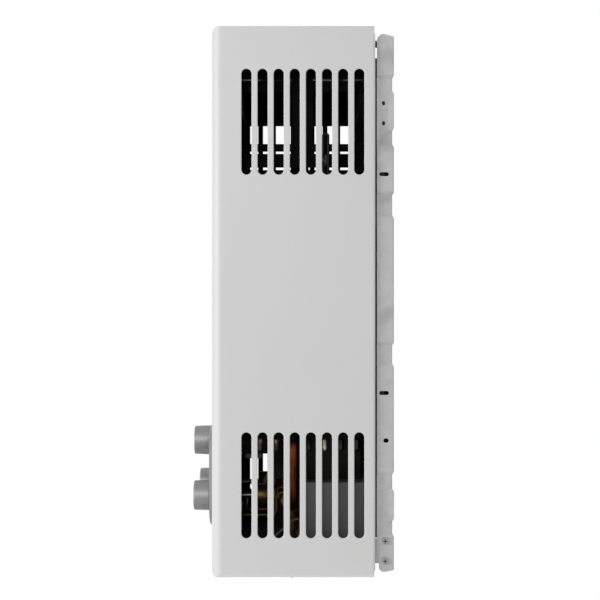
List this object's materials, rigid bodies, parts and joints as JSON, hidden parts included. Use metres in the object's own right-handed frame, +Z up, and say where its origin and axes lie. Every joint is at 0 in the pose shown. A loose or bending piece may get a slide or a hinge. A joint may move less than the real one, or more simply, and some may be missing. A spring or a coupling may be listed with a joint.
{
  "type": "tankless gas water heater",
  "caption": "Wall-hung box-shaped gas water heater with slotted sides, round flue collar on top, front control knobs and threaded pipe stubs underneath.",
  "frame": {"origin": "on the wall plane, at the centre of the four wall-screw holes", "axes": "+X to the right seen from the front, +Y into the wall, +Z up"},
  "size_m": [0.33, 0.2102, 0.588],
  "materials": {
    "white_enamel": "satin",
    "zinc_sheet": "satin",
    "hood_steel": "black heat paint",
    "screw_steel": "polished",
    "stem_steel": "machined",
    "stainless": "satin",
    "flue_metal": "satin",
    "bezel_plastic": "silver paint",
    "knob_plastic": "silver paint",
    "lens": "clear, tinted",
    "sight_pane": "clear",
    "dark_plastic": "moulded",
    "black_plastic": "moulded",
    "copper": "drawn copper",
    "brass": "machined",
    "valve_alloy": "die cast",
    "diaphragm_rubber": "moulded",
    "drain_plastic": "moulded",
    "cell_wrap": "plain wrap",
    "ceramic": "fired",
    "sensor_metal": "pressed",
    "lead_sleeve": "insulated wire"
  },
  "bodies": {
    "casing": {"front_cover": "white_enamel", "back_plate": "zinc_sheet", "bottom_plate": "zinc_sheet", "flange_brackets": "zinc_sheet", "chassis_supports": "zinc_sheet", "electrode_bracket": "zinc_sheet", "draft_hood": "hood_steel", "hood_brackets": "hood_steel", "cover_screws": "screw_steel", "flange_screws": "screw_steel", "diaphragm_screws": "screw_steel", "push_rod_spring": "stem_steel", "battery_contacts": "stem_steel", "burner_frame": "stainless", "burner_bars": "stainless", "inlet_strainer": "stainless", "flue_collar": "flue_metal", "control_bezel": "bezel_plastic", "sight_ring": "bezel_plastic", "display_window": "lens", "sight_glass": "sight_pane", "battery_box": "dark_plastic", "display_module": "dark_plastic", "micro_switch": "black_plastic", "igniter_module": "black_plastic", "gas_solenoid": "black_plastic", "exchanger_shell": "copper", "exchanger_fins": "copper", "exchanger_tubes": "copper", "chamber_coil": "copper", "cold_pipe": "copper", "hot_pipe": "copper", "union_nuts": "brass", "gas_nozzles": "brass", "season_valve": "brass", "water_valve_body": "brass", "cold_inlet_nipple": "brass", "gas_inlet_nipple": "brass", "hot_outlet_nipple": "brass", "gas_valve_body": "valve_alloy", "gas_manifold": "valve_alloy", "gas_riser": "valve_alloy", "diaphragm_cover": "valve_alloy", "diaphragm": "diaphragm_rubber", "battery_cells": "cell_wrap", "ignition_electrode": "ceramic", "flame_sensor": "ceramic", "overheat_thermostat": "sensor_metal", "wiring_leads": "lead_sleeve"},
    "gas_control": {"gas_knob": "knob_plastic", "gas_stem": "stem_steel"},
    "water_control": {"water_knob": "knob_plastic", "water_stem": "stem_steel"},
    "season_control": {"season_knob": "knob_plastic", "season_stem": "stem_steel"},
    "linkage": {"push_rod": "stem_steel"},
    "switch_arm": {"switch_lever": "stem_steel"},
    "plunger": {"solenoid_plunger": "stem_steel"},
    "drain": {"drain_plug": "drain_plastic"},
    "hatch": {"battery_door": "dark_plastic"}
  },
  "joints": [
    {"name": "gas_turn", "type": "hinge", "parent": "casing", "child": "gas_control", "pos_m": [-0.0525, -0.19, -0.2089], "axis": [0, 1, 0], "range_deg": [0, 270]},
    {"name": "water_turn", "type": "hinge", "parent": "casing", "child": "water_control", "pos_m": [0.0525, -0.19, -0.2089], "axis": [0, 1, 0], "range_deg": [0, 270]},
    {"name": "season_turn", "type": "hinge", "parent": "casing", "child": "season_control", "pos_m": [0, -0.19, -0.1547], "axis": [0, 1, 0], "range_deg": [0, 180]},
    {"name": "rod_slide", "type": "slide", "parent": "casing", "child": "linkage", "axis": [-1, 0, 0], "range_m": [0, 0.003], "stiffness_N_per_m": 400, "springref_m": -0.003, "deforming": ["push_rod_spring"]},
    {"name": "lever_swing", "type": "hinge", "parent": "casing", "child": "switch_arm", "pos_m": [-0.0201, -0.102, -0.1983], "axis": [0, 1, 0], "range_deg": [0, 6.1]},
    {"name": "plunger_slide", "type": "slide", "parent": "casing", "child": "plunger", "axis": [-1, 0, 0], "range_m": [0, 0.003], "stiffness_N_per_m": 300, "springref_m": -0.003},
    {"name": "drain_turn", "type": "hinge", "parent": "casing", "child": "drain", "pos_m": [0.0185, -0.102, -0.282], "axis": [0, 0, -1], "range_deg": [0, 180]},
    {"name": "hatch_swing", "type": "hinge", "parent": "casing", "child": "hatch", "pos_m": [0.1201, -0.1018, -0.2776], "axis": [-1, 0, 0], "range_deg": [0, 90]}
  ],
  "couplings": [
    {"joint": "lever_swing", "follows": "rod_slide", "rad_per_m": 34.9}
  ]
}
